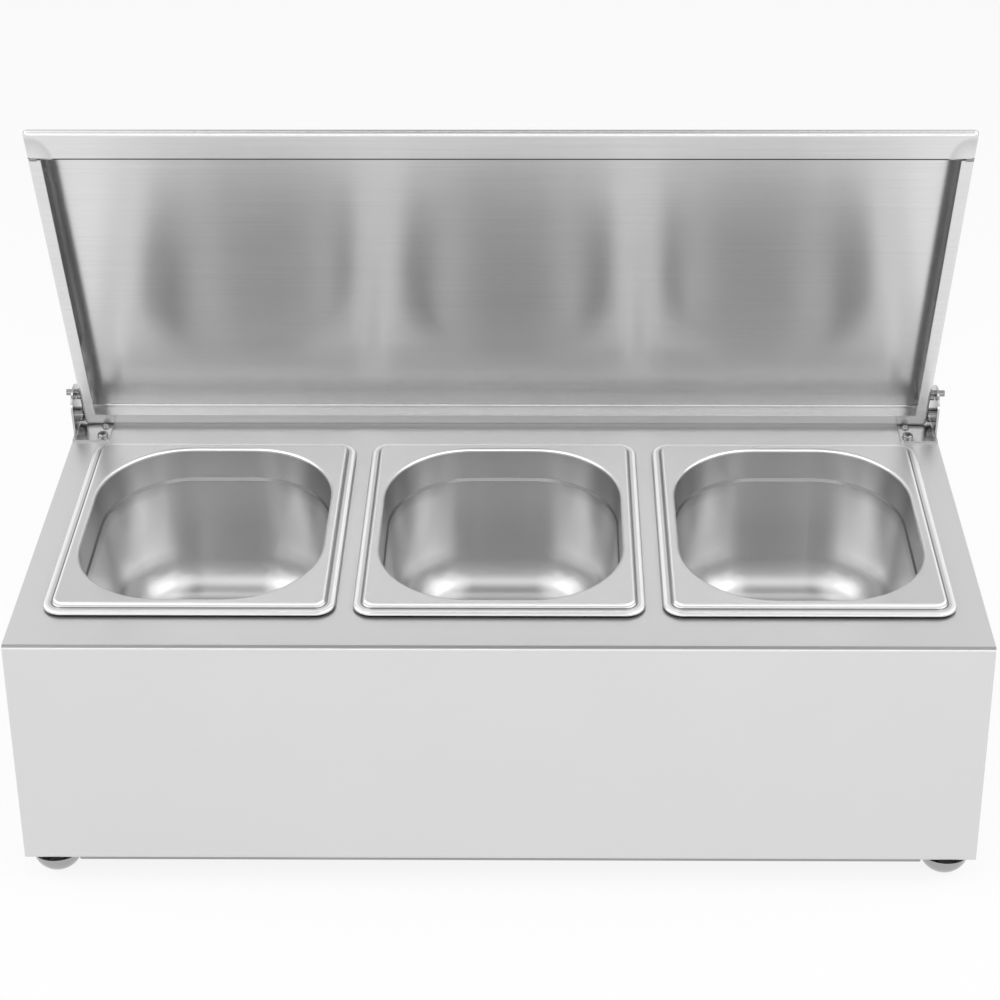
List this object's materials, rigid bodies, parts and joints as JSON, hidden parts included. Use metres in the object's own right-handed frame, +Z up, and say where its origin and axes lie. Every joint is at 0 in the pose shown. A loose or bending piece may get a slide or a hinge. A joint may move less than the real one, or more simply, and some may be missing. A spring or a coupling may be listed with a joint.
{
  "type": "condiment holder",
  "caption": "Stainless steel countertop condiment holder: food pans hung in a sloping deck, a shallow hinged lid standing open, and bright dome feet.",
  "frame": {"origin": "on the counter, under the middle of the housing and pins", "axes": "+Z up, the front faces -Y, +X to the right seen from the front"},
  "size_m": [0.5476, 0.2464, 0.3988],
  "materials": {
    "housing_sheet": "fine brushed",
    "dark_sheet": "mill finish",
    "lid_sheet": "brushed across the width",
    "pan_steel": "satin, deep drawn",
    "bracket_steel": "brushed",
    "bright_steel": "polished",
    "plated_fasteners": "zinc plated",
    "bright_chrome": "mirror plated"
  },
  "bodies": {
    "housing": {"housing_shell": "housing_sheet", "side_panel_left": "housing_sheet", "side_panel_right": "housing_sheet", "base_cover": "dark_sheet", "base_cover_screws": "plated_fasteners", "foot_lock_nuts": "plated_fasteners", "foot_weld_nuts": "plated_fasteners", "hinge_bracket_left": "bracket_steel", "hinge_bracket_right": "bracket_steel", "stop_pin_left": "bright_steel", "stop_pin_right": "bright_steel", "pivot_pin_left": "bright_steel", "pivot_pin_right": "bright_steel", "pivot_spacer_left": "bright_steel", "pivot_spacer_right": "bright_steel", "bracket_screws": "bright_steel", "bracket_nuts": "plated_fasteners"},
    "lid": {"lid_tray": "lid_sheet", "lid_hinge_plate_left": "lid_sheet", "lid_hinge_plate_right": "lid_sheet", "lid_rivets_left": "bright_steel", "lid_rivets_right": "bright_steel", "lid_stop_stud_left": "bright_steel", "lid_stop_stud_right": "bright_steel"},
    "pan_left": {"pan_left": "pan_steel"},
    "pan_middle": {"pan_middle": "pan_steel"},
    "pan_right": {"pan_right": "pan_steel"},
    "foot_front_left": {"foot_dome_front_left": "bright_chrome", "foot_stud_front_left": "plated_fasteners"},
    "foot_front_right": {"foot_dome_front_right": "bright_chrome", "foot_stud_front_right": "plated_fasteners"},
    "foot_rear_left": {"foot_dome_rear_left": "bright_chrome", "foot_stud_rear_left": "plated_fasteners"},
    "foot_rear_right": {"foot_dome_rear_right": "bright_chrome", "foot_stud_rear_right": "plated_fasteners"}
  },
  "joints": [
    {"name": "lid_hinge", "type": "hinge", "parent": "housing", "child": "lid", "pos_m": [0, 0.1013, 0.19629], "axis": [-1, 0, 0], "range_deg": [-77, 0]},
    {"name": "pan_left_lift", "type": "slide", "parent": "housing", "child": "pan_left", "axis": [0, -0.1702, 0.9854], "range_m": [0, 0.105]},
    {"name": "pan_middle_lift", "type": "slide", "parent": "housing", "child": "pan_middle", "axis": [0, -0.1702, 0.9854], "range_m": [0, 0.105]},
    {"name": "pan_right_lift", "type": "slide", "parent": "housing", "child": "pan_right", "axis": [0, -0.1702, 0.9854], "range_m": [0, 0.105]},
    {"name": "foot_turn_front_left", "type": "hinge", "parent": "housing", "child": "foot_front_left", "pos_m": [-0.2531, -0.10778, 0], "axis": [0, 0, 1], "continuous": true},
    {"name": "foot_turn_front_right", "type": "hinge", "parent": "housing", "child": "foot_front_right", "pos_m": [0.2531, -0.10778, 0], "axis": [0, 0, 1], "continuous": true},
    {"name": "foot_turn_rear_left", "type": "hinge", "parent": "housing", "child": "foot_rear_left", "pos_m": [-0.2531, 0.10778, 0], "axis": [0, 0, 1], "continuous": true},
    {"name": "foot_turn_rear_right", "type": "hinge", "parent": "housing", "child": "foot_rear_right", "pos_m": [0.2531, 0.10778, 0], "axis": [0, 0, 1], "continuous": true}
  ]
}
